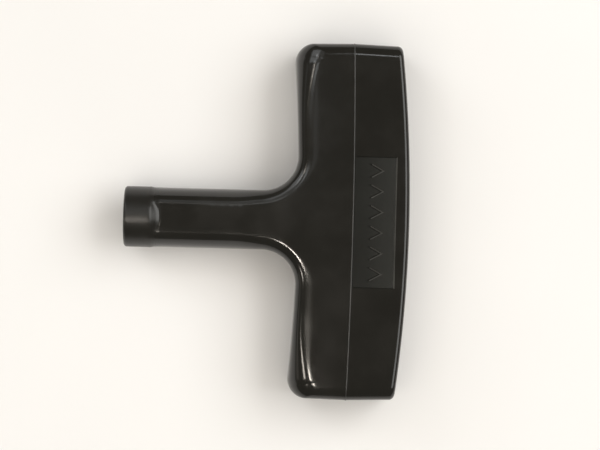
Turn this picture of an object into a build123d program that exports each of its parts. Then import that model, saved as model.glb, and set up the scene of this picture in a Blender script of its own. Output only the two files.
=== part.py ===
from build123d import *
import math
import os

# A recoil starter handle: a glossy black T moulded in one piece.
# X runs along the stem towards the palm side, Y along the grip bar, Z through its thickness.
# The origin is on the rope bore's axis, where its straight wall starts behind the bevelled mouth.

# Overall sizes
overall_length = 66.0       # stem end face to the crest of the palm side
bar_length = 82.4           # end to end at the parting line
bar_thickness = 19.5        # across the level grip faces
bar_depth = 25.7            # stem side to palm crest, on the centre line
parting_setback = 13.0      # parting line back from the palm crest, on the centre line

# Bows of the bar seen from above, as radii
palm_bow = 328.0
stem_side_bow = 450.0
parting_bow = 1370.0

# Mould drafts in degrees, away from the parting line
palm_half_draft = 1.85
stem_half_end_draft = 1.25

# Stem and collar
stem_width = 13.85
stem_flat_height = 11.6     # across the flats where they start behind the collar
stem_crown = 6.98           # radius of the round sides, just over half the width
collar_diameter = 14.1
collar_length = 6.1
collar_ramp = 30.0          # slope in degrees from the collar down to the flats
crown_straight = 0.1        # flat stretch between the upper and lower round sides
crown_runout_length = 9.0   # stretch over which the round sides fade out at the neck
crown_runout_overlap = 2.0  # how far that stretch runs on into the neck
crown_runout_growth = 1.6   # growth of their radius over that stretch

# Roundings
neck_radius = 8.0           # between stem and bar, seen from above
stem_side_corner = 4.2      # bar corners on the stem side, seen from above
grip_rounding = 3.0         # long edges of the bar, its ends and the neck
palm_rounding = 1.2         # edge of the open palm side
bend_radius = 30.0          # where the rising flats level out into the grip faces
bend_setback = 4.2          # middle of that bend, back from the bar's stem side
collar_edge = 0.7
mouth_bevel = 0.6           # bevel of the rope bore's mouth

# Rope bore and its countersunk knot seat
rope_bore_diameter = 6.0
knot_seat_diameter = 9.6
knot_seat_depth = 1.8

# Cored inside, open to the palm side
wall = 2.8
knot_chamber_width = 16.0
rib_count_per_side = 2
rib_root = 2.2              # rib thickness at the floor
rib_tip = 1.6               # rib thickness at its palm edge
rib_setback = 1.4           # rib edges back from the rim
core_draft = 1.0
core_corner = 1.0

# Recessed sign panel on the palm half of the upper face
panel_length = 30.2
panel_width = 9.9
panel_depth = 0.3

# Allowances of the construction
overshoot = 1.0             # blanks and cutters run on past the faces they meet
seat_overshoot = 0.2        # the knot seat's cone runs on past its floor
same_place = 0.01           # places closer than this are the same

# Places worked out from the sizes
stem_end_x = -mouth_bevel
palm_x = stem_end_x + overall_length
stem_side_x = palm_x - bar_depth
parting_x = palm_x - parting_setback
half_length = bar_length / 2
half_thickness = bar_thickness / 2
half_stem = stem_width / 2
collar_radius = collar_diameter / 2
bore_radius = rope_bore_diameter / 2
floor_x = stem_side_x + wall
collar_end_x = stem_end_x + collar_length
flats_start_x = collar_end_x + (collar_radius - stem_flat_height / 2) / math.tan(math.radians(collar_ramp))
neck_start_x = stem_side_x - neck_radius
bend_x = stem_side_x - bend_setback


def sag(bow_radius, y):
    """How far a bow falls back from its crest at the distance y from the centre line."""
    return bow_radius - math.sqrt(bow_radius**2 - y**2)


def bow_disc(crest_x, bow_radius):
    """A disc whose edge crosses the centre line at crest_x."""
    return Pos(crest_x - bow_radius, 0) * Circle(bow_radius)


def drafted_strip(half_width, left_x, right_x):
    """The outline between the bar's two ends, widest at the parting line."""
    widest_x = parting_x - sag(parting_bow, half_width)
    left_y = half_width - (widest_x - left_x) * math.tan(math.radians(stem_half_end_draft))
    right_y = half_width - (right_x - widest_x) * math.tan(math.radians(palm_half_draft))
    upper = [(left_x, left_y), (widest_x, half_width), (right_x, right_y)]
    lower = [(x, -y) for x, y in reversed(upper)]
    return make_face(Polyline(*upper, *lower, close=True))


def bar_plan():
    """The bar seen from above: two bows and two drafted ends, with sharp corners."""
    back_x = stem_side_x - sag(stem_side_bow, half_length)
    strip = drafted_strip(half_length, back_x - overshoot, palm_x + overshoot)
    return (strip & bow_disc(palm_x, palm_bow)) - bow_disc(stem_side_x, stem_side_bow)


def handle_plan():
    """The whole T seen from above, with its necks and the rounded corners of its stem side."""
    stem_start_x = (stem_end_x + collar_end_x) / 2
    stem = Pos((stem_start_x + floor_x) / 2, 0) * Rectangle(floor_x - stem_start_x, stem_width)
    plan = bar_plan() + stem
    necks = [v for v in plan.vertices() if abs(abs(v.Y) - half_stem) < same_place and v.X > neck_start_x]
    plan = fillet(necks, neck_radius)
    bar_end_y = half_length - stem_side_corner
    corners = [v for v in plan.vertices() if abs(v.Y) > bar_end_y and v.X < stem_side_x]
    return fillet(corners, stem_side_corner)


def flat_height(x):
    """Half the height across the rising flats at x."""
    slope = (half_thickness - stem_flat_height / 2) / (bend_x - flats_start_x)
    return stem_flat_height / 2 + (x - flats_start_x) * slope


def palm_half_height(x):
    """Half the thickness of the drafted palm half at x."""
    return half_thickness - (x - parting_x) * math.tan(math.radians(palm_half_draft))


def mirrored_outline(upper):
    """A face on the side plane, from the points of its upper outline."""
    lower = [(x, -z) for x, z in reversed(upper)]
    return make_face(Polyline(*upper, *lower, close=True))


def side_form():
    """The T seen from the side, swept round the bow of the parting line."""
    start_x = stem_end_x - overshoot
    far_x = palm_x + overshoot
    upper = [(start_x, flat_height(start_x)), (bend_x, half_thickness)]
    upper += [(parting_x, half_thickness), (far_x, palm_half_height(far_x))]
    profile = mirrored_outline(upper)
    bends = [v for v in profile.vertices() if abs(v.X - bend_x) < same_place]
    profile = Plane.XZ * fillet(bends, bend_radius)
    centre = Axis((parting_x - parting_bow, 0, 0), (0, 0, 1))
    half_turn = math.degrees((half_length + overshoot) / (parting_bow - bar_depth))
    return revolve(profile.rotate(centre, -half_turn), centre, 2 * half_turn)


def rounded_body():
    """The outside of bar, necks and stem, with their long edges rounded."""
    body = extrude(handle_plan(), bar_thickness, both=True) & side_form()
    upright = body.faces().filter_by(lambda f: abs(f.normal_at().Z) < same_place)
    walls = upright.sort_by(Axis.X)[1:-1]
    rims = [e for f in walls for e in f.edges() if abs(e.center().Z) > same_place]
    body = fillet(rims, grip_rounding)
    palm_face = body.faces().sort_by(Axis.X)[-1]
    return fillet(palm_face.edges(), palm_rounding)


def crown_section(x, growth):
    """The stem's round-sided section at x, stretched upright by as much as the flats have risen."""
    rise = max(flat_height(x) - stem_flat_height / 2, 0)
    slot = SlotCenterToCenter(2 * rise + crown_straight, 2 * (stem_crown + growth), rotation=90)
    return Plane.YZ.offset(x) * slot


def stem_trim():
    """What is cut from the stem's corners to leave its round sides."""
    start_x = stem_end_x - overshoot
    end_x = neck_start_x + crown_runout_overlap
    runout_x = end_x - crown_runout_length
    sections = [crown_section(start_x, 0), crown_section(flats_start_x, 0)]
    sections += [crown_section(runout_x, 0), crown_section(end_x, crown_runout_growth)]
    block = Pos((start_x + end_x) / 2, 0, 0) * Box(end_x - start_x, 2 * stem_width, 2 * bar_thickness)
    return block - loft(sections, ruled=True)


def collar():
    """The round collar with its ramp down to the flats."""
    ramp_end_x = collar_end_x + (collar_radius - bore_radius) / math.tan(math.radians(collar_ramp))
    outline = [(stem_end_x, 0), (stem_end_x, collar_radius), (collar_end_x, collar_radius)]
    outline += [(ramp_end_x, bore_radius), (ramp_end_x, 0)]
    return revolve(Plane.XZ * make_face(Polyline(*outline, close=True)), Axis.X)


def rope_bore():
    """The through hole for the rope, with a countersunk seat for its knot."""
    start_x = stem_end_x - overshoot
    seat_x = floor_x - knot_seat_depth
    past_x = floor_x + seat_overshoot
    slope = (knot_seat_diameter / 2 - bore_radius) / knot_seat_depth
    past_radius = bore_radius + (past_x - seat_x) * slope
    outline = [(start_x, 0), (start_x, bore_radius), (seat_x, bore_radius)]
    outline += [(past_x, past_radius), (past_x, 0)]
    return revolve(make_face(Polyline(*outline, close=True)), Axis.X)


def rib_places():
    """The middles of the cross ribs along the bar, on one side."""
    first = (knot_chamber_width + rib_root) / 2
    last = half_length - wall
    pitch = (last - first + rib_root / 2) / rib_count_per_side
    return [first + k * pitch for k in range(rib_count_per_side)]


def rib_plan(y):
    """A cross rib seen from above, thicker at the floor."""
    tip_x = palm_x - sag(palm_bow, y) - rib_setback
    lower = [(stem_side_x, y - rib_root / 2), (tip_x, y - rib_tip / 2)]
    upper = [(tip_x, y + rib_tip / 2), (stem_side_x, y + rib_root / 2)]
    return make_face(Polyline(*lower, *upper, close=True))


def core_plan():
    """The cored inside seen from above, its floor bowed like the stem side and level in the knot chamber."""
    slope = math.tan(math.radians(core_draft))
    far_x = palm_x + overshoot
    rim_y = half_length - parting_setback * math.tan(math.radians(palm_half_draft)) - wall
    outline = [(stem_side_x, rim_y - bar_depth * slope), (far_x, rim_y + (far_x - palm_x) * slope)]
    plan = mirrored_outline(outline) - bow_disc(floor_x, stem_side_bow + wall)
    plan -= Pos(floor_x - wall / 2, 0) * Rectangle(wall, knot_chamber_width + rib_root)
    for y in rib_places():
        plan -= rib_plan(y)
        plan -= rib_plan(-y)
    corners = [v for v in plan.vertices() if v.X < floor_x + same_place]
    return fillet(corners, core_corner)


def cores():
    """The space inside the bar, open to the palm side and drafted both ways."""
    slope = math.tan(math.radians(core_draft))
    far_x = palm_x + overshoot
    rim_z = palm_half_height(palm_x) - wall
    outline = [(stem_side_x, rim_z - bar_depth * slope), (far_x, rim_z + (far_x - palm_x) * slope)]
    side = extrude(Plane.XZ * mirrored_outline(outline), bar_length, both=True)
    return extrude(core_plan(), half_thickness, both=True) & side


def panel_recess():
    """The shallow sign panel, from the parting line towards the palm edge."""
    start_x = parting_x - overshoot
    end_x = parting_x + panel_width
    floor = [(x, palm_half_height(x) - panel_depth) for x in (start_x, end_x)]
    outline = floor + [(end_x, bar_thickness), (start_x, bar_thickness)]
    block = extrude(Plane.XZ * make_face(Polyline(*outline, close=True)), panel_length / 2, both=True)
    return block - extrude(bow_disc(parting_x, parting_bow), bar_thickness)


def handle():
    """The finished handle: one moulding."""
    body = rounded_body() - stem_trim()
    body = body + collar()
    end_edges = body.faces().sort_by(Axis.X)[0].edges()
    body = fillet(end_edges, collar_edge)
    body = body - cores() - rope_bore()
    mouth = body.faces().sort_by(Axis.X)[0].edges().sort_by(SortBy.LENGTH)[0]
    body = chamfer(mouth, mouth_bevel)
    return body - panel_recess()


def main():
    """Builds the handle and writes its one file."""
    os.makedirs("parts", exist_ok=True)
    moulding = handle()
    print("solids", len(moulding.solids()), "volume", round(moulding.volume, 1))
    export_step(moulding, "parts/handle.step")


if __name__ == "__main__":
    main()
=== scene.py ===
"""Looks of a recoil starter handle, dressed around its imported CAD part.

Sizes in the classes are millimetres and become metres when a mesh is made. X runs along the stem to the palm,
Y along the grip bar and Z through its thickness, and the origin is on the axis of the rope bore.
"""

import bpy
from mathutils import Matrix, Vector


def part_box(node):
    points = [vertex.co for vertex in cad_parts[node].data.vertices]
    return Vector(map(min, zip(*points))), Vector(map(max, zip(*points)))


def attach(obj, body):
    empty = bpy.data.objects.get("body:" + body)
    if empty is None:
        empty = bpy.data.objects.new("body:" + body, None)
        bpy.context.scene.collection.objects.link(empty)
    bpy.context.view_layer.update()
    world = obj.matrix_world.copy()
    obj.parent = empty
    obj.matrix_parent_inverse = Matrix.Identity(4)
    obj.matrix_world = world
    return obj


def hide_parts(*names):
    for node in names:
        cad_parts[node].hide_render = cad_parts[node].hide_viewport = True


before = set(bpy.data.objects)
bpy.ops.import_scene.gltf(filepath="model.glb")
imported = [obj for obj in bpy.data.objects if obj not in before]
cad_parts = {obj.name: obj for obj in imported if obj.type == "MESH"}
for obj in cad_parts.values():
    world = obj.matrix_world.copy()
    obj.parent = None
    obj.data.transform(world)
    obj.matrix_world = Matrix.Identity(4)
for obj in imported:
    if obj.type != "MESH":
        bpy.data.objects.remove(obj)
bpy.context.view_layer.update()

import logging
import math
from dataclasses import dataclass, field
from enum import Enum

import bmesh
import bpy
import numpy as np
from mathutils import Matrix, Vector
from mathutils.geometry import delaunay_2d_cdt

logging.basicConfig(level=logging.INFO, format="%(message)s")
log = logging.getLogger("starter_handle")

MM = 0.001
WELD = 0.001 * MM
SHARP_ANGLE = math.radians(32)
ENCLOSED = 1
NOWHERE = np.zeros((0, 2))
FINE_STEP = (0.7, 0.8)
COARSE_STEP = (1.4, 1.4)
SCRATCH_WAYS = ((0.5, 5200.0), (-0.9, 4300.0), (1.4, 6100.0))
SCRATCH_STRETCH = (0.035, 1.0, 0.035)
SCRATCH_ROUGHNESS = 0.35
SCRATCH_HEIGHT = -0.25
BUMP_DISTANCE = 0.0001

Array = np.ndarray
Socket = bpy.types.NodeSocket
Colour = tuple[float, float, float]


class Finish(Enum):
    """The finishes of the moulding, in the order of its material slots."""

    POLISHED = 0
    PANEL = 1
    CORE = 2
    # A lighter grey on the walls that face the lamps on the left: a painted highlight.
    PAINTED_HIGHLIGHT = 3


@dataclass
class Patch:
    """A piece of surface: points in millimetres, faces of three or four corners, and one finish."""

    points: Array
    faces: Array
    finish: Finish = Finish.POLISHED

    def reflected(self, z_signs: tuple[float, ...] = (1.0, -1.0)) -> list["Patch"]:
        """The patch for both signs of Y and each of the signs of Z.

        Args:
            z_signs: The signs that Z takes; by default both, which makes four patches.

        Returns:
            New patches with the same faces and finish.
        """
        signs = [np.array([1.0, y, z]) for y in (1.0, -1.0) for z in z_signs]
        return [Patch(self.points * sign, self.faces, self.finish) for sign in signs]


def smoothstep(start: float, end: float, value: Array) -> Array:
    """Rises from 0 at start to 1 at end as 3t^2 - 2t^3."""
    share = np.clip((np.asarray(value, float) - start) / (end - start), 0.0, 1.0)
    return share * share * (3.0 - 2.0 * share)


def smooth_min(first: Array, second: Array, width: float) -> Array:
    """The smaller of two heights, with a parabola of the given width in place of the corner between them."""
    overlap = np.maximum(width - np.abs(first - second), 0.0) / width
    return np.minimum(first, second) - overlap**2 * width / 4.0


def smooth_max(first: Array, second: Array, width: float) -> Array:
    """The larger of two heights, with a parabola of the given width in place of the corner between them."""
    return -smooth_min(-np.asarray(first), -np.asarray(second), width)


def sag(radius: float, distance: Array) -> Array:
    """How far a bow falls back from its crest at a distance from the centre line: r - sqrt(r^2 - d^2)."""
    return radius - np.sqrt(radius**2 - np.asarray(distance, float) ** 2)


def directions(angle: Array) -> Array:
    """Unit vectors at the angles, of shape (n, 2)."""
    return np.stack([np.cos(angle), np.sin(angle)], 1)


def turned(x: Array, radius: Array, angle: Array) -> Array:
    """Points round the axis, with one row for each x: (x, r cos t, r sin t)."""
    return np.stack(np.broadcast_arrays(x[:, None], radius * np.cos(angle), radius * np.sin(angle)), -1)


def raised(flat: Array, height: Array) -> Array:
    """Points seen from above, of shape (..., 2), joined with their heights."""
    return np.concatenate([flat, height[..., None]], -1)


def grid_patch(points: Array, finish: Finish = Finish.POLISHED) -> Patch:
    """Quads over a grid of points, each cell joining [i, j], [i + 1, j], [i + 1, j + 1] and [i, j + 1].

    Args:
        points: An array of shape (rows, columns, 3).
        finish: The finish of the patch.

    Returns:
        The patch.
    """
    rows, columns = points.shape[:2]
    index = np.arange(rows * columns).reshape(rows, columns)
    corners = (index[:-1, :-1], index[1:, :-1], index[1:, 1:], index[:-1, 1:])
    return Patch(points.reshape(-1, 3), np.stack(corners, -1).reshape(-1, 4), finish)


def inside(points: Array, loops: list[Array]) -> Array:
    """Which points lie within the loops: a ray to the right crosses the loops an odd number of times.

    Args:
        points: An array of shape (n, 2).
        loops: Closed outlines, each an array of shape (m, 2).

    Returns:
        A mask of n values.
    """
    crossings = np.zeros(len(points), int)
    for loop in loops:
        start, end = loop, np.roll(loop, -1, axis=0)
        height = points[:, None, 1]
        spans = (start[:, 1] > height) != (end[:, 1] > height)
        run = np.where(end[:, 1] == start[:, 1], 1.0, end[:, 1] - start[:, 1])
        reach = start[:, 0] + (height - start[:, 1]) * (end[:, 0] - start[:, 0]) / run
        crossings += (spans & (points[:, None, 0] < reach)).sum(1)
    return crossings % 2 == 1


def clear_of(points: Array, loops: list[Array], clearance: float) -> Array:
    """Which points are at least the clearance away from every point of the loops."""
    edge = np.concatenate(loops)
    gaps = np.linalg.norm(points[:, None] - edge[None], axis=2)
    return gaps.min(1) > clearance


def filled(loops: list[Array], spread: Array = NOWHERE, clearance: float = 0.1) -> tuple[Array, Array]:
    """A flat region between loops cut into triangles, as a Delaunay net that keeps every edge of the loops.

    Args:
        loops: The outer outline first, and then the outlines of its holes.
        spread: Points to scatter inside, as an array of shape (n, 2).
        clearance: How near to an outline a scattered point may lie.

    Returns:
        The points in the plane and the triangles.
    """
    loops = [loop.astype(np.float32).astype(float) for loop in loops]
    wanted = inside(spread, loops) & clear_of(spread, loops, clearance)
    edges, first = [], 0
    for loop in loops:
        index = first + np.arange(len(loop))
        edges.append(np.stack([index, np.roll(index, -1)], 1))
        first += len(loop)
    corners = np.concatenate([*loops, spread[wanted]])
    net = delaunay_2d_cdt(corners.tolist(), np.concatenate(edges).tolist(), [], ENCLOSED, 1e-6, False)
    points = np.array(net[0], float)
    triangles = np.array(net[2], int)
    keep = inside(points[triangles].mean(1), loops)
    return points, triangles[keep]


def lattice(low: tuple[float, float], high: tuple[float, float], step: tuple[float, float]) -> Array:
    """Points on a brick lattice over a rectangle: every second row is shifted by half a step."""
    counts = [max(int((b - a) / s), 1) + 1 for a, b, s in zip(low, high, step)]
    across, along = np.meshgrid(*(np.linspace(*ends) for ends in zip(low, high, counts)))
    across[1::2] += step[0] / 2
    return np.stack([across.ravel(), along.ravel()], 1)


def rounded_line(points: list[tuple[float, float]], radii: list[float], steps: int) -> Array:
    """An open line whose inner corners are arcs, each starting a tangent's length away, r tan(turn / 2).

    Args:
        points: The corners of the line.
        radii: The radius at each corner; the two ends have none.
        steps: How many runs each arc is cut into.

    Returns:
        The points of the rounded line, of shape (n, 2).
    """
    corners = np.array(points, float)
    line = [corners[:1]]
    for before, corner, after, radius in zip(corners[:-2], corners[1:-1], corners[2:], radii[1:-1]):
        back = (before - corner) / np.linalg.norm(before - corner)
        ahead = (after - corner) / np.linalg.norm(after - corner)
        half = math.acos(np.clip(back @ ahead, -1, 1)) / 2
        centre = corner + (back + ahead) / np.linalg.norm(back + ahead) * radius / math.sin(half)
        start, end = (corner + way * radius / math.tan(half) - centre for way in (back, ahead))
        share = np.linspace(0, 1, steps + 1)[:, None]
        sweep = math.pi - 2 * half
        arc = np.sin((1 - share) * sweep) * start + np.sin(share * sweep) * end
        line.append(centre + arc / math.sin(sweep))
    line.append(corners[-1:])
    return np.concatenate(line)


@dataclass
class Moulding:
    """The T of the handle as one skin: stem, collar, necks, grip bar and the cored inside.

    The skin of a quarter is worked out with numpy and reflected across both middle planes.
    """

    stem_end: float
    palm: float
    half_length: float
    half_thickness: float
    bar_depth: float = 25.7
    parting_setback: float = 13.0
    palm_bow: float = 328.0
    stem_side_bow: float = 450.0
    parting_bow: float = 1370.0
    palm_draft: float = 1.85
    end_draft: float = 1.25
    stem_width: float = 13.85
    stem_half_flats: float = 5.8
    crown_height: float = 7.1
    crease_width: float = 1.1
    flats_edge: float = 3.6
    side_lean: float = 6.0
    collar_radius: float = 7.05
    collar_length: float = 6.1
    collar_ramp: float = 30.0
    ramp_rounding: float = 0.2
    ramp_fillet: float = 0.45
    ramp_foot: float = 9.5
    collar_edge: float = 0.7
    mouth_bevel: float = 0.6
    bore_radius: float = 3.0
    seat_radius: float = 4.8
    seat_depth: float = 1.8
    neck_radius: float = 8.0
    neck_blend: tuple[float, float] = (-7.5, 3.5)
    corner_radius: float = 4.2
    grip_rounding: float = 3.0
    nose_growth: float = 3.6
    nose_start: float = 20.0
    nose_run: float = 18.0
    shoulder: float = 1.6
    shoulder_rise: tuple[float, float] = (9.0, 16.0)
    shoulder_fall: tuple[float, float] = (24.0, 34.0)
    wall_lean: float = 1.0
    palm_rounding: float = 1.2
    bend_radius: float = 30.0
    bend_setback: float = 4.2
    wall: float = 2.8
    knot_chamber: float = 16.0
    join_x: float = 18.0
    wall_rows: int = 6
    edge_rows: int = 18
    flat_rows: int = 12
    end_columns: int = 20
    patches: list[Patch] = field(default_factory=list)

    def __post_init__(self) -> None:
        """Works out the places that follow from the sizes."""
        self.half_stem = self.stem_width / 2
        self.stem_side = self.palm - self.bar_depth
        self.parting = self.palm - self.parting_setback
        self.floor_x = self.stem_side + self.wall
        self.collar_end = self.stem_end + self.collar_length
        self.ramp_slope = math.tan(math.radians(self.collar_ramp))
        self.flats_start = self.collar_end + (self.collar_radius - self.stem_half_flats) / self.ramp_slope
        bend_x = self.stem_side - self.bend_setback
        self.rise_slope = (self.half_thickness - self.stem_half_flats) / (bend_x - self.flats_start)
        self.palm_slope = math.tan(math.radians(self.palm_draft))
        self.end_slope = math.tan(math.radians(self.end_draft))
        self.palm_run = self.palm_rounding * (1 - math.sin(math.radians(self.palm_draft)))
        self.widest = self.parting - float(sag(self.parting_bow, self.half_length))
        lean = math.radians(self.wall_lean)
        arc = np.linspace(lean, math.pi / 2, self.edge_rows + 1)
        self.turn = np.concatenate([np.full(self.wall_rows, lean), arc])
        self.wall_share = np.concatenate([np.linspace(0, 1, self.wall_rows + 1), np.ones(self.edge_rows)])
        self.reach = 1 - np.cos(self.turn) / math.cos(lean)
        self.inset = (self.half_thickness - self.grip_rounding) * math.tan(lean) * self.wall_share
        self.inset += self.grip_rounding * math.cos(lean) * self.reach

    def top(self, x: Array, y: Array) -> Array:
        """Half the thickness at a place seen from above: rising flats, a level grip and a drafted palm half.

        The place is measured along the bow of the parting line, and the flats meet the grip in a parabola as
        wide as an arc of the bend's radius.
        """
        centre = self.parting - self.parting_bow
        along = centre + np.hypot(x - centre, y)
        flats = self.stem_half_flats + (along - self.flats_start) * self.rise_slope
        level = self.half_thickness - np.maximum(along - self.parting, 0.0) * self.palm_slope
        return smooth_min(flats, level, self.rise_slope**2 * self.bend_radius / 2)

    def palm_line(self, y: Array) -> Array:
        """Where the rounding of the palm edge starts, in X."""
        return self.palm - sag(self.palm_bow, y) - self.palm_run

    def parting_line(self, y: Array) -> Array:
        """Where the parting line runs, in X."""
        return self.parting - sag(self.parting_bow, y)

    def floor(self, y: Array) -> Array:
        """The X of the floor of the cored inside: bowed like the stem side, but level in the knot chamber."""
        bowed = self.floor_x - sag(self.stem_side_bow + self.wall, y)
        return np.where(np.abs(y) < self.knot_chamber / 2 + 0.5, self.floor_x, bowed)

    def stem_rows(self) -> tuple[Array, Array, Array]:
        """The rows of the stem's section, from its side up to the edge of the flats, as angles of an ellipse.

        Returns:
            Each row's angle, its share of the flats' rise and its inset from the side, a (1 - cos angle).
        """
        first = math.radians(self.side_lean)
        last = math.acos(1 - self.flats_edge / self.half_stem)
        upper = np.linspace(first, last, self.edge_rows + 1)
        angle = np.concatenate([self.wall_share[: self.wall_rows] * first, upper])
        return angle, self.wall_share, self.half_stem * (1 - np.cos(angle))

    def outline(self) -> tuple[Array, Array]:
        """The side of stem, neck, bar and corner seen from above: a line, an arc, a bow and an arc.

        Returns:
            The points and the outward normals, each of shape (n, 2).
        """
        bow_centre = np.array([self.stem_side - self.stem_side_bow, 0.0])
        neck_y = self.half_stem + self.neck_radius
        reach = self.stem_side_bow - self.neck_radius
        neck = np.array([bow_centre[0] + math.sqrt(reach**2 - neck_y**2), neck_y])
        neck_turn = math.asin(neck_y / reach)

        tilt = math.hypot(1, self.end_slope)
        reach = self.stem_side_bow + self.corner_radius
        corner = np.array([self.stem_side + self.corner_radius, 0.0])
        for _ in range(8):
            corner[1] = self.half_length - self.corner_radius * tilt
            corner[1] -= (self.widest - corner[0]) * self.end_slope
            corner[0] = bow_centre[0] + math.sqrt(reach**2 - corner[1] ** 2)
        corner_turn = math.asin(corner[1] / reach)

        stem_x = np.linspace(self.join_x, neck[0], 26)[:-1]
        stem = np.stack([stem_x, np.full_like(stem_x, self.half_stem)], 1)
        stem_out = np.tile([0.0, 1.0], (len(stem), 1))

        angle = np.linspace(-math.pi / 2, neck_turn, 49)[:-1]
        way = directions(angle)
        neck_arc, neck_out = neck + self.neck_radius * way, -way

        angle = np.linspace(neck_turn, corner_turn, 41)[:-1]
        way = directions(angle)
        bow, bow_out = bow_centre + self.stem_side_bow * way, -way

        angle = np.linspace(math.pi + corner_turn, math.pi / 2 + math.radians(self.end_draft), 31)
        corner_out = directions(angle)
        corner_arc = corner + self.corner_radius * corner_out
        points = np.concatenate([stem, neck_arc, bow, corner_arc])
        return points, np.concatenate([stem_out, neck_out, bow_out, corner_out])

    def crown_drop(self, angle: Array) -> Array:
        """What the stem's ellipse falls short of the flats, softened, and nothing at the flats' edge."""
        drop = smooth_max(self.stem_half_flats - self.crown_height * np.sin(angle), 0.0, self.crease_width)
        lowest = drop[self.wall_rows]
        return (drop - drop[-1]) * lowest / (lowest - drop[-1])

    def edge_rows_xy(self) -> tuple[Array, Array, Array]:
        """The rounded side of the T seen from above, with one column for each place along the outline.

        Each row is the outline moved inwards: on the stem by an ellipse's inset, on the bar by that of a
        wall with a little draft and then an arc, r (1 - cos t), and along the neck by a blend of both. The
        bar's rows are also pushed away from the stem side, near the top of the arc by a soft shoulder, and
        towards the bar's ends by an arc that grows. From the corner on they run straight to the parting
        line and then to the palm edge.

        Returns:
            X and Y of shape (rows, columns, 2), each column's blend from stem to bar, and its arc's radius.
        """
        points, out = self.outline()
        start, end = (self.neck_start + reach for reach in self.neck_blend)
        blend = smoothstep(start, end, points[:, 0])
        blend[points[:, 1] > self.half_stem + self.neck_radius / 2] = 1.0
        inset = (1 - blend) * self.stem_rows()[2][:, None] + blend * self.inset[:, None]
        y = points[:, 1]
        nose = self.nose_growth * np.clip(y - self.nose_start, 0.0, self.nose_run) ** 2 / self.nose_run**2
        shoulder = smoothstep(*self.shoulder_rise, y) * (1 - smoothstep(*self.shoulder_fall, y))
        softened = self.shoulder * np.clip(self.turn / math.radians(30) - 2, 0, 1) ** 2
        push = self.reach[:, None] * nose + softened[:, None] * shoulder
        rows = points - inset[:, :, None] * out
        rows += push[:, :, None] * np.stack([np.ones(len(points)), self.end_slope * out[:, 1]], 1)
        radius = self.grip_rounding + nose * np.clip(-out[:, 0], 0, 1)

        side, palm = self.end_rows(rows[:, -1, 0])
        rows = np.concatenate([rows, side, palm], 1)
        more = rows.shape[1] - len(points)
        self.parting_column = len(points) + side.shape[1]
        return rows, np.append(blend, np.ones(more)), np.append(radius, np.full(more, self.grip_rounding))

    def end_rows(self, start: Array) -> tuple[Array, Array]:
        """The straight runs over the bar's end, from the corner to the parting line and on to the palm edge.

        Args:
            start: The X where each row leaves the corner.

        Returns:
            X and Y of both runs, each of shape (rows, columns, 2).
        """
        edge_y = self.half_length - self.inset
        parting_x = self.parting_line(edge_y)
        share = np.linspace(0, 1, self.end_columns + 2)[1:-1]
        side_x = start[:, None] + share * (parting_x - start)[:, None]
        side_y = edge_y[:, None] - (self.widest - side_x) * self.end_slope

        end_y = edge_y.copy()
        for _ in range(4):
            end_x = self.palm_line(end_y)
            end_y = edge_y - (end_x - parting_x) * self.palm_slope
        share = np.linspace(0, 1, self.end_columns)
        palm_x = parting_x[:, None] + share * (end_x - parting_x)[:, None]
        palm_y = edge_y[:, None] - (palm_x - parting_x[:, None]) * self.palm_slope
        return np.stack([side_x, side_y], -1), np.stack([palm_x, palm_y], -1)

    def side_rows(self) -> Array:
        """The rounded side of the T: the rows seen from above, with their heights.

        The height is that of the face above less a drop: r (1 - sin t) on the bar, and on the stem what the
        ellipse b sin t falls short of the flats. Below the rounding the rows share out the wall.

        Returns:
            Points of shape (rows, columns, 3).
        """
        flat, blend, radius = self.edge_rows_xy()
        angle, share, _ = self.stem_rows()
        over = self.top(flat[..., 0], flat[..., 1])
        crown = self.crown_drop(angle)
        round_drop = radius * (1 - np.sin(self.turn))[:, None]
        height = over - (1 - blend) * crown[:, None] - blend * round_drop
        rise = over[0] - self.stem_half_flats
        wall = share[: self.wall_rows, None]
        stem_wall = rise * wall + self.crown_height * np.sin(angle[: self.wall_rows, None])
        height[: self.wall_rows] = (1 - blend) * stem_wall + blend * wall * height[self.wall_rows]
        return raised(flat, height)

    @property
    def neck_start(self) -> float:
        """Where the neck's arc leaves the stem."""
        return self.stem_side - self.neck_radius

    def stem_section(self, x: Array) -> tuple[Array, Array]:
        """A quarter of the stem's section at each x, from its side to the middle of its flat.

        Args:
            x: Places along the stem, of shape (n,).

        Returns:
            Y and Z of shape (n, rows): an ellipse a cos t, b sin t, raised with the flats and cut by them.
        """
        angle, share, inset = self.stem_rows()
        side_y = np.tile(self.half_stem - inset, (len(x), 1))
        across = np.linspace(1, 0, self.flat_rows + 1)[1:]
        y = np.concatenate([side_y, side_y[:, -1:] * across], 1)
        rise = np.maximum(self.top(x[:, None], y) - self.stem_half_flats, 0.0)
        z = rise + self.stem_half_flats
        rows = len(angle)
        z[:, :rows] -= self.crown_drop(angle)
        wall = slice(0, self.wall_rows)
        z[:, wall] = rise[:, :1] * share[wall] + self.crown_height * np.sin(angle[wall])
        return y, z

    def add_stem(self) -> None:
        """Adds the stem with its collar, end face, bore and knot seat as one surface of rows round the axis.

        Along the bore and the collar every row is a profile turned round the axis. Behind the collar the
        row's radius is the larger of the stem's own and that of the collar's ramp, with the corner between
        them filled.
        """
        fine = np.linspace(self.collar_end, self.ramp_foot, 46)
        x = np.concatenate([fine, np.linspace(self.ramp_foot, self.join_x, 18)[1:]])
        y, z = self.stem_section(x)
        angle, own = np.arctan2(z, y), np.hypot(y, z)
        slope = self.collar_radius - (x - self.collar_end) * self.ramp_slope
        level = np.full_like(x, self.collar_radius)
        ramp = smooth_min(level, slope + self.ramp_rounding / 4, self.ramp_rounding)
        radius = smooth_max(own, ramp[:, None], self.ramp_fillet)
        stem = turned(x, radius, angle)

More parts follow.
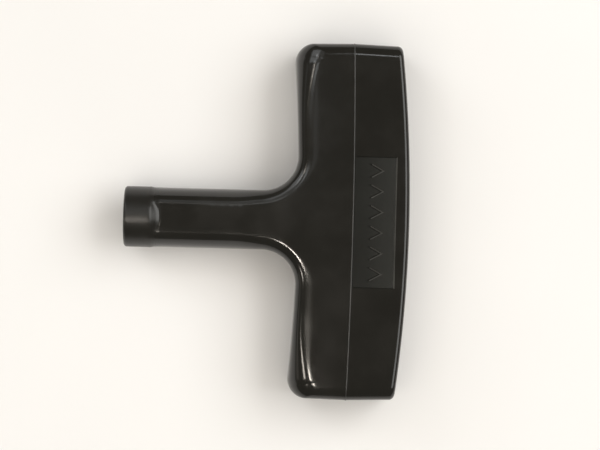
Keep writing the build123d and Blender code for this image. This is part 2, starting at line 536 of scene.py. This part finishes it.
        turn = np.linspace(0, math.pi / 2, 9)
        seat_x = self.floor_x - self.seat_depth
        bore = [(self.floor_x, self.seat_radius), (seat_x, self.bore_radius)]
        bore += [(place, self.bore_radius) for place in np.linspace(seat_x, 0, 12)[1:]]
        mouth = [(-self.mouth_bevel * k, self.bore_radius + self.mouth_bevel * k) for k in (0.33, 0.67, 1.0)]
        rim = self.collar_radius - self.collar_edge
        face = [(self.stem_end, r) for r in np.linspace(self.bore_radius + self.mouth_bevel, rim, 6)[1:]]
        edge_x = self.stem_end + self.collar_edge
        rounding = self.collar_edge * directions(turn[1:])
        edge = [(edge_x - across, rim + up) for across, up in rounding]
        sleeve = [(place, self.collar_radius) for place in np.linspace(edge_x, self.collar_end, 12)[1:-1]]
        profile = np.array(bore + mouth + face + edge + sleeve)
        round_rows = turned(profile[:, 0], profile[:, 1:], angle[0])
        round_rows[0, :, 0] = self.floor(round_rows[0, :, 1])
        self.seat_circle = round_rows[0, :, 1:]
        self.patches += grid_patch(np.concatenate([round_rows, stem])).reflected()

    def add_side(self) -> None:
        """Adds the rounded side of the T and the rounding of the palm edge that closes it.

        The rounding's last column is kept in the parting plane, where the halves meet.
        """
        rows = self.side_rows()
        self.patches += grid_patch(rows).reflected()
        self.inner_line = rows[-1]
        self.parting_profile = rows[:, self.parting_column]
        end = rows[::-1, -1]
        turn = self.turn[::-1]
        self.palm_y = np.linspace(0, end[0, 1], 60)[:-1]
        palm_x = self.palm_line(self.palm_y)
        level = np.stack([palm_x, self.palm_y, self.top(palm_x, self.palm_y)], 1)
        loop = np.concatenate([level, end])
        out = np.concatenate([np.tile([0.0, 1.0], (len(level), 1)), directions(turn)])
        start = math.radians(self.palm_draft)
        bend = np.linspace(start, math.pi / 2, 11)[:, None]
        inset = self.palm_rounding * (math.cos(start) - np.cos(bend))
        flat = loop[:, 1:] - inset[..., None] * out
        flat[:, -1, 1] = 0.0
        x = self.palm_line(flat[..., 0]) + self.palm_rounding * (np.sin(bend) - math.sin(start))
        rounding = np.concatenate([x[..., None], flat], -1)
        self.rim_line = rounding[-1]
        self.patches += grid_patch(rounding).reflected()

    def face_loop(self) -> Array:
        """The outline of the level face above, for the half with positive Y."""
        inner_y = self.inner_line[0, 1]
        across = inner_y * np.linspace(0, 1, self.flat_rows + 1)[:-1]
        start = np.stack([np.full_like(across, self.join_x), across], 1)
        palm_x = self.palm_line(self.palm_y)
        far = np.stack([palm_x, self.palm_y], 1)[::-1]
        middle = np.linspace(palm_x[0], self.join_x, 46)[1:-1]
        centre = np.stack([middle, np.zeros_like(middle)], 1)
        return np.concatenate([start, self.inner_line[:, :2], far, centre])

    def add_faces(self, panel: "SignPanel") -> None:
        """Adds the level faces above and below, the upper one with the opening of the sign panel.

        Args:
            panel: The recessed panel whose outline is left open.
        """
        middle = self.stem_side + 4
        parting_y = np.linspace(0.4, self.half_length - self.grip_rounding - 0.4, 80)
        spread = np.concatenate(
            [
                lattice((self.join_x, 0.0), (middle, self.half_length), FINE_STEP),
                lattice((middle, 0.0), (self.palm, self.half_length), COARSE_STEP),
                np.stack([self.parting_line(parting_y), parting_y], 1),
            ]
        )
        loop = self.face_loop()
        for z_sign, outline in ((1.0, panel.cut_from(loop)), (-1.0, loop)):
            flat, triangles = filled([outline], spread, 0.16)
            patch = Patch(raised(flat, self.top(flat[:, 0], flat[:, 1])), triangles)
            self.patches += patch.reflected((z_sign,))


@dataclass
class CoredInside:
    """The inside of the grip bar, open to the palm side: a floor, drafted walls and cross ribs."""

    moulding: Moulding
    rib_root: float = 2.2
    rib_tip: float = 1.6
    rib_setback: float = 1.4
    ribs_per_side: int = 2
    core_draft: float = 1.0
    core_corner: float = 1.0
    cross_corner: float = 0.5
    tip_radius: float = 0.3
    longest_run: float = 2.5

    def rim(self, y: Array) -> Array:
        """The rim's X, bowed like the palm."""
        return self.moulding.palm - sag(self.moulding.palm_bow, y)

    def rib_places(self) -> list[float]:
        """The middles of the ribs on one side, evenly spaced from the knot chamber to the end wall."""
        first = (self.moulding.knot_chamber + self.rib_root) / 2
        last = self.moulding.half_length - self.moulding.wall
        pitch = (last - first + self.rib_root / 2) / self.ribs_per_side
        return [first + k * pitch for k in range(self.ribs_per_side)]

    def along_bar(self) -> Array:
        """The floor line along the bar, up and down each rib and up the end wall, as Y and X."""
        m = self.moulding
        corners, radii = [(0.0, float(m.floor(0.0)))], [0.0]
        for middle in self.rib_places():
            foot, tip = self.rib_root / 2, self.rib_tip / 2
            top = float(self.rim(middle)) - self.rib_setback
            for y, x, radius in (
                (middle - foot, float(m.floor(middle - foot)), self.core_corner),
                (middle - tip, top, self.tip_radius),
                (middle + tip, top, self.tip_radius),
                (middle + foot, float(m.floor(middle + foot)), self.core_corner),
            ):
                corners.append((y, x))
                radii.append(radius)
        slope = math.tan(math.radians(self.core_draft))
        rim_y = m.half_length - m.parting_setback * m.palm_slope - m.wall
        root_y = rim_y - float(self.rim(rim_y) - m.floor(rim_y)) * slope
        corners += [(root_y, float(m.floor(root_y))), (rim_y, float(self.rim(rim_y)))]
        corners.append((rim_y + self.tip_radius * 1.5, float(self.rim(rim_y + self.tip_radius * 1.5))))
        radii += [self.core_corner, self.tip_radius, 0.0]
        return rounded_line(corners, radii, 6)

    def across_bar(self) -> Array:
        """The floor line across the bar and up its wall, as Z and the share of the way from floor to rim."""
        m = self.moulding
        depth = m.palm - m.floor_x
        rim_z = m.half_thickness - m.parting_setback * m.palm_slope - m.wall
        root_z = rim_z - depth * math.tan(math.radians(self.core_draft))
        corners = [(0.0, 0.0), (root_z, 0.0), (rim_z, depth), (rim_z + self.tip_radius * 1.5, depth)]
        line = rounded_line(corners, [0.0, self.cross_corner, self.tip_radius, 0.0], 6)
        line[:, 1] /= depth
        return line

    def build(self) -> None:
        """Adds the inside, its rim and the floor round the knot seat to the moulding.

        The inside is a grid over Y and Z whose X is the larger of the profile along the bar and the wall's
        share of the way from floor to rim.
        """
        m = self.moulding
        along, across = self.subdivided(self.along_bar()), self.subdivided(self.across_bar())
        y, z = along[:, 0][:, None], across[:, 0][None]
        walls = m.floor(y) + across[:, 1][None] * (self.rim(y) - m.floor(y))
        x = np.maximum(along[:, 1][:, None], walls)
        points = np.stack([x, np.broadcast_to(y, x.shape), np.broadcast_to(z, x.shape)], -1)
        grid = grid_patch(points, Finish.CORE)
        level = (along[:, 1] < m.floor(along[:, 0]) + 1e-6) & (along[:, 0] < m.knot_chamber / 2)
        seat_y = along[level][-1, 0]
        seat_z = across[across[:, 1] <= 1e-9][-1, 0]
        middle = grid.points[grid.faces].mean(1)
        grid.faces = grid.faces[(middle[:, 1] > seat_y) | (middle[:, 2] > seat_z)]
        m.patches += grid.reflected()

        circle = m.seat_circle
        side = points[along[:, 0] <= seat_y + 1e-9][:, across[:, 0] <= seat_z + 1e-9]
        loop = np.concatenate([circle, side[:, -1, 1:], side[-1, :-1, 1:][::-1]])
        flat, triangles = filled([loop])
        floor = np.concatenate([m.floor(flat[:, :1]), flat], 1)
        m.patches += Patch(floor, triangles, Finish.CORE).reflected()

        opening = np.concatenate([points[:, -1, 1:], points[-1, :-1, 1:][::-1]])
        loop = np.concatenate([m.rim_line[:, 1:], opening[::-1]])
        flat, triangles = filled([loop])
        rim = np.concatenate([self.rim(flat[:, :1]), flat], 1)
        m.patches += Patch(rim, triangles).reflected()

    def subdivided(self, line: Array) -> Array:
        """The line with its long runs cut into equal parts."""
        parts = [line[:1]]
        for start, end in zip(line[:-1], line[1:]):
            count = max(math.ceil(np.linalg.norm(end - start) / self.longest_run), 1)
            share = np.linspace(0, 1, count + 1)[1:, None]
            parts.append(start + share * (end - start))
        return np.concatenate(parts)


@dataclass
class SignPanel:
    """The recessed matt panel on the palm half of the upper face, with a row of sunk pull chevrons."""

    moulding: Moulding
    length: float = 30.2
    width: float = 9.9
    depth: float = 0.3
    wall_lean: float = 0.14
    chevrons: int = 6
    pitch: float = 4.75
    chevron_height: float = 3.9
    chevron_width: float = 3.2
    chevron_depth: float = 0.2
    chevron_lean: float = 0.22
    chevron_shift: float = 0.1
    stroke: float = 1.0
    side_steps: int = 30
    end_steps: int = 12

    def outline(self) -> Array:
        """The panel's outline for the half with positive Y, from the parting line to the far wall."""
        m = self.moulding
        y = np.linspace(0, self.length / 2, self.side_steps + 1)
        near = np.stack([m.parting_line(y), y], 1)
        x = np.linspace(near[-1, 0], m.parting + self.width, self.end_steps + 1)[1:]
        end = np.stack([x, np.full_like(x, self.length / 2)], 1)
        far = np.stack([np.full_like(y, m.parting + self.width), y], 1)[::-1][1:]
        return np.concatenate([near, end, far])

    def inner(self) -> Array:
        """The outline at the foot of the walls, which lean twice as far along the panel as at its ends."""
        loop = self.outline().copy()
        m = self.moulding
        far = m.parting + self.width
        near = m.parting_line(loop[:, 1])
        share = (loop[:, 0] - near) / (far - near)
        loop[:, 0] = near + self.wall_lean * 2 + share * (far - near - self.wall_lean * 4)
        loop[:, 1] *= 1 - 2 * self.wall_lean / self.length
        return loop

    def cut_from(self, loop: Array) -> Array:
        """The face's outline with the panel's outline taken out of it along the middle line."""
        m = self.moulding
        centre = (np.abs(loop[:, 1]) < 1e-9) & (loop[:, 0] > m.join_x + 1e-6)
        inside_panel = centre & (loop[:, 0] > m.parting - 1e-6) & (loop[:, 0] < m.parting + self.width + 1e-6)
        before = np.flatnonzero(inside_panel)[0]
        kept = np.flatnonzero(inside_panel)[-1] + 1
        return np.concatenate([loop[:before], self.outline()[::-1], loop[kept:]])

    def chevron(self, middle_y: float, lean: float) -> Array:
        """One chevron that points to the palm, drawn smaller all round by the lean."""
        half, arm = self.chevron_width / 2, self.chevron_height - self.stroke
        edge = lean * (math.hypot(arm, half) / half)
        wing = half - lean
        fall = arm / half * wing
        front = self.chevron_height / 2 - edge
        back = self.chevron_height / 2 - self.stroke + edge
        right = [(front, 0.0), (front - fall, wing), (back - fall, wing)]
        left = [(back, 0.0), (back - fall, -wing), (front - fall, -wing)]
        x = self.moulding.parting + self.width / 2 + self.chevron_shift
        return np.array(right + left) + [x, middle_y]

    def build(self) -> None:
        """Adds the walls, the floor and the chevrons, with the edges on the palm side, which face the lamps
        on the left, painted a lighter grey as a highlight.
        """
        m = self.moulding
        outer, inner = self.outline(), self.inner()
        walls = np.stack([self.levelled(outer, self.depth), self.levelled(inner, 0.0)])
        corner = self.side_steps + self.end_steps
        m.patches += grid_patch(walls[:, : corner + 1], Finish.PANEL).reflected((1.0,))
        # The far wall faces the lamps on the left and is painted lighter as a highlight.
        m.patches += grid_patch(walls[:, corner:], Finish.PAINTED_HIGHLIGHT).reflected((1.0,))

        whole = np.concatenate([inner, (inner * [1, -1])[::-1][1:-1]])
        middles = (np.arange(self.chevrons) - (self.chevrons - 1) / 2) * self.pitch
        edges = [self.chevron(y, 0.0) for y in middles]
        floors = [self.chevron(y, self.chevron_lean) for y in middles]
        spread = lattice((m.parting, -self.length / 2), (m.parting + self.width, self.length / 2), (1.0, 1.0))
        flat, triangles = filled([whole, *edges], spread, 0.2)
        m.patches.append(Patch(self.levelled(flat, 0.0), triangles, Finish.PANEL))
        for edge, floor in zip(edges, floors):
            flat, triangles = filled([floor])
            m.patches.append(Patch(self.levelled(flat, -self.chevron_depth), triangles, Finish.PANEL))
            ring = np.stack([self.levelled(edge, 0.0), self.levelled(floor, -self.chevron_depth)])
            ring = np.concatenate([ring, ring[:, :1]], 1)
            m.patches.append(grid_patch(ring[:, 1:6], Finish.PANEL))
            # The chevrons' walls on the palm side face the lamps on the left and are painted lighter as a
            # highlight.
            for part in (ring[:, :2], ring[:, 5:]):
                m.patches.append(grid_patch(part, Finish.PAINTED_HIGHLIGHT))

    def levelled(self, flat: Array, lift: float) -> Array:
        """Points seen from above, set at a height above the panel's floor."""
        return raised(flat, self.moulding.top(flat[:, 0], flat[:, 1]) - self.depth + lift)


@dataclass
class PartingFlash:
    """The fine raised line that the mould's halves left round the bar."""

    moulding: Moulding
    half_width: float = 0.13
    height: float = 0.07
    sunk: float = 0.06

    def build(self) -> bpy.types.Object:
        """Makes the line: a small half-round section carried round the bar.

        The path goes up the end wall, over the rounding and along the upper face to the middle, and is
        reflected. The section is (w cos t, h sin t) across the path, with its foot sunk into the skin. The
        first ring is kept in the parting plane, where the halves meet.

        Returns:
            The finished object.
        """
        m = self.moulding
        rise = m.parting_profile
        y = np.linspace(rise[-1, 1], 0, 120)[1:]
        x = m.parting_line(y)
        path = np.concatenate([rise, np.stack([x, y, m.top(x, y)], 1)])
        turn = np.concatenate([m.turn, np.full(len(y), math.pi / 2)])
        out = np.stack([np.zeros_like(turn), np.cos(turn), np.sin(turn)], 1)
        angle = np.linspace(0, 2 * math.pi, 13)
        across = self.half_width * np.cos(angle)
        lift = np.where(np.sin(angle) > 0, self.height, self.sunk) * np.sin(angle)
        rings = path[:, None] + out[:, None] * lift[:, None]
        rings[..., 0] += across
        rings[0, :, 2] = 0.0
        return finished_object("parting_line", grid_patch(rings).reflected())


def linked(name: str, data: bpy.types.ID) -> bpy.types.Object:
    """A new object with the data, in the scene and at the origin."""
    made = bpy.data.objects.new(name, data)
    bpy.context.scene.collection.objects.link(made)
    return made


def finished_object(name: str, patches: list[Patch]) -> bpy.types.Object:
    """One welded mesh object out of patches, with its faces pointing outwards and its sharp edges marked.

    Args:
        name: The name of the object.
        patches: The surfaces, which share the points on their borders.

    Returns:
        The object, at the origin.
    """
    points, faces, slots, first = [], [], [], 0
    for patch in patches:
        points.append(patch.points)
        faces += (patch.faces + first).tolist()
        slots += [patch.finish.value] * len(patch.faces)
        first += len(patch.points)
    mesh = bpy.data.meshes.new(name)
    mesh.from_pydata((np.concatenate(points) * MM).tolist(), [], faces)
    mesh.polygons.foreach_set("material_index", slots)
    work = bmesh.new()
    work.from_mesh(mesh)
    bmesh.ops.remove_doubles(work, verts=work.verts, dist=WELD)
    bmesh.ops.dissolve_degenerate(work, edges=work.edges, dist=WELD / 2)
    bmesh.ops.recalc_face_normals(work, faces=work.faces)
    loose = sum(1 for edge in work.edges if not edge.is_manifold)
    work.to_mesh(mesh)
    work.free()
    mesh.polygons.foreach_set("use_smooth", [True] * len(mesh.polygons))
    mesh.set_sharp_from_angle(angle=SHARP_ANGLE)
    made = linked(name, mesh)
    log.info("%s: %d points, %d faces, %d open edges", name, len(mesh.vertices), len(mesh.polygons), loose)
    return made


class Sheet:
    """Adds and joins nodes in one node tree."""

    def __init__(self, tree: bpy.types.NodeTree) -> None:
        """Starts on the tree of a material, a world or a group, and empties it."""
        self.tree = tree
        tree.nodes.clear()

    def add(self, kind: str, inputs: dict | None = None, **settings: object) -> bpy.types.Node:
        """Adds a node.

        Args:
            kind: The node's type.
            inputs: Values or output sockets for its inputs, by name or number.
            **settings: Properties of the node.

        Returns:
            The node.
        """
        node = self.tree.nodes.new(kind)
        for name, value in settings.items():
            setattr(node, name, value)
        for name, value in (inputs or {}).items():
            if isinstance(value, Socket):
                self.tree.links.new(value, node.inputs[name])
            else:
                node.inputs[name].default_value = value
        return node

    def math(self, operation: str, *values: object) -> Socket:
        """A Math node's result."""
        return self.add("ShaderNodeMath", dict(enumerate(values)), operation=operation).outputs[0]

    def range(self, value: Socket, low: float, high: float, to_low: float, to_high: float) -> Socket:
        """A value mapped smoothly from one range to another, and kept within it."""
        inputs = {"Value": value, "From Min": low, "From Max": high, "To Min": to_low, "To Max": to_high}
        return self.add("ShaderNodeMapRange", inputs, interpolation_type="SMOOTHSTEP").outputs[0]

    def noise(self, where: Socket, scale: float, detail: float, rough: float = 0.5) -> Socket:
        """The value of a noise texture."""
        inputs = {"Vector": where, "Scale": scale, "Detail": detail, "Roughness": rough}
        return self.add("ShaderNodeTexNoise", inputs).outputs[0]

    def mix(self, share: Socket, first: Colour, second: Colour) -> Socket:
        """Two colours mixed by the share of the second."""
        inputs = {"Factor": share, "A": (*first, 1.0), "B": (*second, 1.0)}
        mixed = self.add("ShaderNodeMix", inputs, data_type="RGBA")
        return next(socket for socket in mixed.outputs if socket.type == "RGBA")


def new_group(name: str, inputs: tuple[str, ...], outputs: tuple[str, ...]) -> bpy.types.NodeTree:
    """An empty node group.

    Args:
        name: The group's name.
        inputs: The names of its inputs after the first, which is the Vector; they are numbers.
        outputs: The names of its outputs, all numbers.

    Returns:
        The group.
    """
    group = bpy.data.node_groups.new(name, "ShaderNodeTree")
    group.interface.new_socket("Vector", in_out="INPUT", socket_type="NodeSocketVector")
    for way, sockets in (("INPUT", inputs), ("OUTPUT", outputs)):
        for socket in sockets:
            group.interface.new_socket(socket, in_out=way, socket_type="NodeSocketFloat")
    return group


def scratch_group() -> bpy.types.NodeTree:
    """A node group of fine handling scratches: thin lines in patches, where a stretched noise peaks.

    Returns:
        The group, with an input Vector and Amount, and an output Mask.
    """
    group = new_group("handling_scratches", ("Amount",), ("Mask",))
    sheet = Sheet(group)
    source = sheet.add("NodeGroupInput")
    masks = []
    for turn, scale in SCRATCH_WAYS:
        spin = {"Vector": source.outputs["Vector"], "Angle": turn}
        spun = sheet.add("ShaderNodeVectorRotate", spin).outputs[0]
        stretch = {0: spun, 1: SCRATCH_STRETCH}
        long = sheet.add("ShaderNodeVectorMath", stretch, operation="MULTIPLY").outputs[0]
        thin = sheet.range(sheet.noise(long, scale, 1.0), 0.70, 0.76, 0.0, 1.0)
        patchy = sheet.range(sheet.noise(spun, 130.0, 1.0), 0.48, 0.62, 0.0, 1.0)
        masks.append(sheet.math("MULTIPLY", thin, patchy))
    both = sheet.math("MAXIMUM", sheet.math("MAXIMUM", masks[0], masks[1]), masks[2])
    sheet.add("NodeGroupOutput", {"Mask": sheet.math("MULTIPLY", both, source.outputs["Amount"])})
    return group


def skin_group() -> bpy.types.NodeTree:
    """A node group of a moulded skin: slow waves, a fine peel and cloudy gloss.

    Returns:
        The group, with inputs Vector, Waves and Peel, and outputs Height and Cloud.
    """
    group = new_group("moulded_skin", ("Waves", "Peel"), ("Height", "Cloud"))
    sheet = Sheet(group)
    source = sheet.add("NodeGroupInput")
    where = source.outputs["Vector"]
    waves = sheet.math("MULTIPLY", sheet.noise(where, 160.0, 1.0), source.outputs["Waves"])
    peel = sheet.math("MULTIPLY", sheet.noise(where, 2600.0, 2.0), source.outputs["Peel"])
    cloud = sheet.noise(where, 95.0, 4.0, 0.62)
    sheet.add("NodeGroupOutput", {"Height": sheet.math("ADD", waves, peel), "Cloud": cloud})
    return group


@dataclass(frozen=True)
class Plastic:
    """A moulded plastic finish of two tones in soft clouds.

    The painted sheen is the share of the second, lighter tone that comes in along X between the two places of
    its
    span: a painted highlight for the brighter reflection towards the far side of the panel. The wear is what
    the collar is rougher by, and it fades to what is left of it where the collar ends.
    """

    name: str
    colour: Colour
    cloud_colour: Colour
    roughness: float
    cloud_roughness: float
    peel: float
    scratches: float
    waves: float = 0.1
    painted_sheen: float = 0.0
    painted_sheen_span: tuple[float, float] = (52.0, 62.5)
    wear: float = 0.0
    wear_left: float = 0.04
    wear_span: tuple[float, float] = (5.0, 9.0)

    def material(self, groups: dict[str, bpy.types.NodeTree]) -> bpy.types.Material:
        """Makes the material.

        Args:
            groups: The shared node groups, by name.

        Returns:
            The material.
        """
        made = bpy.data.materials.new(self.name)
        made.use_nodes = True
        sheet = Sheet(made.node_tree)
        where = sheet.add("ShaderNodeTexCoord").outputs["Object"]
        skin_inputs = {"Vector": where, "Waves": self.waves, "Peel": self.peel}
        skin = sheet.add("ShaderNodeGroup", skin_inputs, node_tree=groups["skin"])
        scratch_inputs = {"Vector": where, "Amount": self.scratches}
        scratch = sheet.add("ShaderNodeGroup", scratch_inputs, node_tree=groups["scratch"])
        cloud = sheet.range(skin.outputs["Cloud"], 0.35, 0.7, 0.0, 1.0 - self.painted_sheen)
        along = sheet.add("ShaderNodeSeparateXYZ", {"Vector": where}).outputs["X"]
        # Painted sheen: the tone grows lighter along X towards the panel's far side, standing for a brighter
        # reflection.
        if self.painted_sheen:
            start, end = (place * MM for place in self.painted_sheen_span)
            cloud = sheet.math("ADD", cloud, sheet.range(along, start, end, 0.0, self.painted_sheen))
        colour = sheet.mix(cloud, self.colour, self.cloud_colour)
        gloss = sheet.math("MULTIPLY_ADD", cloud, self.cloud_roughness - self.roughness, self.roughness)
        rough = sheet.math("MULTIPLY_ADD", scratch.outputs["Mask"], SCRATCH_ROUGHNESS, gloss)
        if self.wear:
            start, end = (place * MM for place in self.wear_span)
            rough = sheet.math("ADD", rough, sheet.range(along, start, end, self.wear, self.wear_left))
        height = sheet.math("MULTIPLY_ADD", scratch.outputs["Mask"], SCRATCH_HEIGHT, skin.outputs["Height"])
        bump = sheet.add("ShaderNodeBump", {"Height": height, "Distance": BUMP_DISTANCE}).outputs[0]
        inputs = {"Base Color": colour, "Roughness": rough, "Normal": bump}
        shader = sheet.add("ShaderNodeBsdfPrincipled", inputs)
        sheet.add("ShaderNodeOutputMaterial", {"Surface": shader.outputs[0]})
        return made


POLISHED = Plastic(
    name="black_gloss_plastic",
    colour=(0.0072, 0.0063, 0.0046),
    cloud_colour=(0.0098, 0.0088, 0.0068),
    roughness=0.08,
    cloud_roughness=0.13,
    peel=0.02,
    scratches=0.05,
    wear=0.24,
)
# The panel's colour is painted lighter along X towards its far side, a painted sheen.
PANEL = Plastic(
    name="black_matt_plastic",
    colour=(0.006, 0.0061, 0.0046),
    cloud_colour=(0.0135, 0.0138, 0.0115),
    roughness=0.2,
    cloud_roughness=0.26,
    peel=0.2,
    scratches=0.04,
    painted_sheen=0.8,
)
CORE = Plastic(
    name="black_core_plastic",
    colour=(0.008, 0.0075, 0.007),
    cloud_colour=(0.011, 0.0105, 0.0098),
    roughness=0.26,
    cloud_roughness=0.34,
    peel=0.05,
    scratches=0.1,
)
# A lighter grey for the walls that face the lamps on the left: a painted highlight.
PAINTED_HIGHLIGHT = Plastic(
    name="painted_highlight_edge_plastic",
    colour=(0.06, 0.059, 0.055),
    cloud_colour=(0.11, 0.108, 0.1),
    roughness=0.3,
    cloud_roughness=0.4,
    peel=0.2,
    scratches=0.0,
)
FLASH = Plastic(
    name="parting_flash_plastic",
    colour=(0.024, 0.0235, 0.0225),
    cloud_colour=(0.04, 0.039, 0.037),
    roughness=0.32,
    cloud_roughness=0.45,
    peel=0.4,
    scratches=0.0,
)


class Reach(Enum):
    """What a lamp does: all of it, only show as a highlight in shiny faces, or only light the faces."""

    ALL = "all"
    HIGHLIGHT = "highlight"
    FILL = "fill"


@dataclass(frozen=True)
class Lamp:
    """A rectangular lamp, in millimetres, that faces the handle with one pair of its sides along X."""

    name: str
    place: tuple[float, float, float]
    size: tuple[float, float]
    radiance: float
    colour: Colour = (1.0, 1.0, 1.0)
    reach: Reach = Reach.HIGHLIGHT


COOL = (0.95, 0.98, 1.0)
WARM = (1.0, 0.92, 0.82)
LAMPS = (
    Lamp("key", (760, 240, 900), (760, 1000), 3.0, (1.0, 1.0, 0.98), Reach.ALL),
    Lamp("window", (-490, 440, 560), (440, 380), 1.75, COOL, Reach.ALL),
    Lamp("fill", (60, -110, 1100), (1500, 1500), 1.33, (1.0, 0.93, 0.84), Reach.FILL),
    Lamp("key_glow", (760, 240, 900), (400, 500), 4.0, (1.0, 0.98, 0.95)),
    Lamp("stem_glow", (-110, 240, 440), (180, 240), 0.42, COOL),
    Lamp("neck_glow", (-240, 200, 440), (80, 90), 3.4, COOL),
    Lamp("back_glow", (110, 214, 440), (90, 50), 6.0, COOL),
    Lamp("high_glow", (-76, 82, 440), (90, 32), 3.4, COOL),
    Lamp("high_glow_dim", (14, 42, 440), (50, 40), 0.55, COOL),
    Lamp("high_bulb", (-126, 84, 300), (22, 26), 18.0, WARM),
    Lamp("high_strip", (-409, 75, 200), (50, 130), 0.5, COOL),
    Lamp("low_bulb", (-225, -98, 330), (44, 60), 22.0, WARM),
    Lamp("low_strip", (-225, -60, 330), (40, 20), 1.2, WARM),
    Lamp("low_haze", (-390, -80, 110), (100, 150), 0.5, WARM),
    Lamp("front_bulb", (-52, -94, 440), (50, 24), 75.0, WARM),
    Lamp("front_glow", (-12, -76, 440), (60, 12), 9.0, WARM),
    Lamp("front_glow_middle", (-5, -59, 440), (50, 20), 3.0, WARM),
    Lamp("front_glow_dim", (-10, -36, 440), (50, 26), 0.6, WARM),
)


@dataclass
class Studio:
    """The floor, the lamps, the world and the camera."""

    floor_z: float
    camera_height: float = 650.0
    camera_x: float = 40.27
    camera_y: float = -0.99
    camera_roll: float = 1.5
    field_width: float = 141.85
    sensor: float = 36.0
    floor_half: float = 3000.0

    def add_floor(self) -> None:
        """Adds the plain pale floor, a wide sheet under the handle."""
        half, z = self.floor_half * MM, self.floor_z * MM
        mesh = bpy.data.meshes.new("floor")
        corners = [(-half, -half, z), (half, -half, z), (half, half, z), (-half, half, z)]
        mesh.from_pydata(corners, [], [(0, 1, 2, 3)])
        floor = linked("floor", mesh)
        paint = bpy.data.materials.new("pale_floor")
        paint.use_nodes = True
        sheet = Sheet(paint.node_tree)
        where = sheet.add("ShaderNodeTexCoord").outputs["Object"]
        cloud = sheet.range(sheet.noise(where, 9.0, 3.0), 0.3, 0.7, 0.0, 1.0)
        colour = sheet.mix(cloud, (0.87, 0.864, 0.868), (0.9, 0.894, 0.898))
        shader = sheet.add("ShaderNodeBsdfPrincipled", {"Base Color": colour, "Roughness": 0.6})
        sheet.add("ShaderNodeOutputMaterial", {"Surface": shader.outputs[0]})
        mesh.materials.append(paint)

    def add_lamp(self, lamp: Lamp) -> None:
        """Hangs a rectangular lamp that looks at the handle."""
        data = bpy.data.lights.new(lamp.name, "AREA")
        data.shape = "RECTANGLE"
        data.size, data.size_y = lamp.size[0] * MM, lamp.size[1] * MM
        data.energy = lamp.radiance * math.pi * data.size * data.size_y
        data.color = lamp.colour
        hung = linked(lamp.name, data)
        hung.location = Vector(lamp.place) * MM
        away = (hung.location - Vector((self.camera_x, 0.0, 0.0)) * MM).normalized()
        side = Vector((0.0, 1.0, 0.0)).cross(away).normalized()
        hung.rotation_euler = Matrix((side, away.cross(side), away)).transposed().to_euler()
        hung.visible_diffuse = lamp.reach is not Reach.HIGHLIGHT
        hung.visible_glossy = lamp.reach is not Reach.FILL

    def add_world(self) -> None:
        """Adds the plain grey surroundings that the top of the handle reflects."""
        world = bpy.data.worlds.new("surroundings")
        bpy.context.scene.world = world
        world.use_nodes = True
        sheet = Sheet(world.node_tree)
        air = sheet.add("ShaderNodeBackground", {"Color": (1.0, 0.97, 0.87, 1.0), "Strength": 0.24})
        sheet.add("ShaderNodeOutputWorld", {"Surface": air.outputs[0]})

    def add_camera(self) -> None:
        """Adds the camera, straight above and turned a little, with the photograph's field on the floor."""
        data = bpy.data.cameras.new("camera")
        data.sensor_width = self.sensor
        data.lens = self.sensor * self.camera_height / self.field_width
        data.clip_start = 0.01
        camera = linked("camera", data)
        camera.location = (self.camera_x * MM, self.camera_y * MM, (self.floor_z + self.camera_height) * MM)
        camera.rotation_euler = (0.0, 0.0, math.radians(self.camera_roll))
        bpy.context.scene.camera = camera

    def build(self) -> None:
        """Sets up the whole studio."""
        self.add_floor()
        for lamp in LAMPS:
            self.add_lamp(lamp)
        self.add_world()
        self.add_camera()
        bpy.context.scene.view_settings.view_transform = "Standard"


def main() -> None:
    """Builds the handle's pieces, dresses them and sets up the studio."""
    low, high = (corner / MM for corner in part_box("handle"))
    moulding = Moulding(low.x, high.x, high.y, high.z)
    panel = SignPanel(moulding)
    moulding.add_stem()
    moulding.add_side()
    moulding.add_faces(panel)
    CoredInside(moulding).build()
    panel.build()
    body = finished_object("moulded_handle", moulding.patches)
    flash = PartingFlash(moulding).build()

    groups = {"skin": skin_group(), "scratch": scratch_group()}
    for finish in (POLISHED, PANEL, CORE, PAINTED_HIGHLIGHT):
        body.data.materials.append(finish.material(groups))
    flash.data.materials.append(FLASH.material(groups))
    for piece in (body, flash):
        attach(piece, "root")
    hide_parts("handle")
    Studio(low.z).build()


if __name__ == "__main__":
    main()
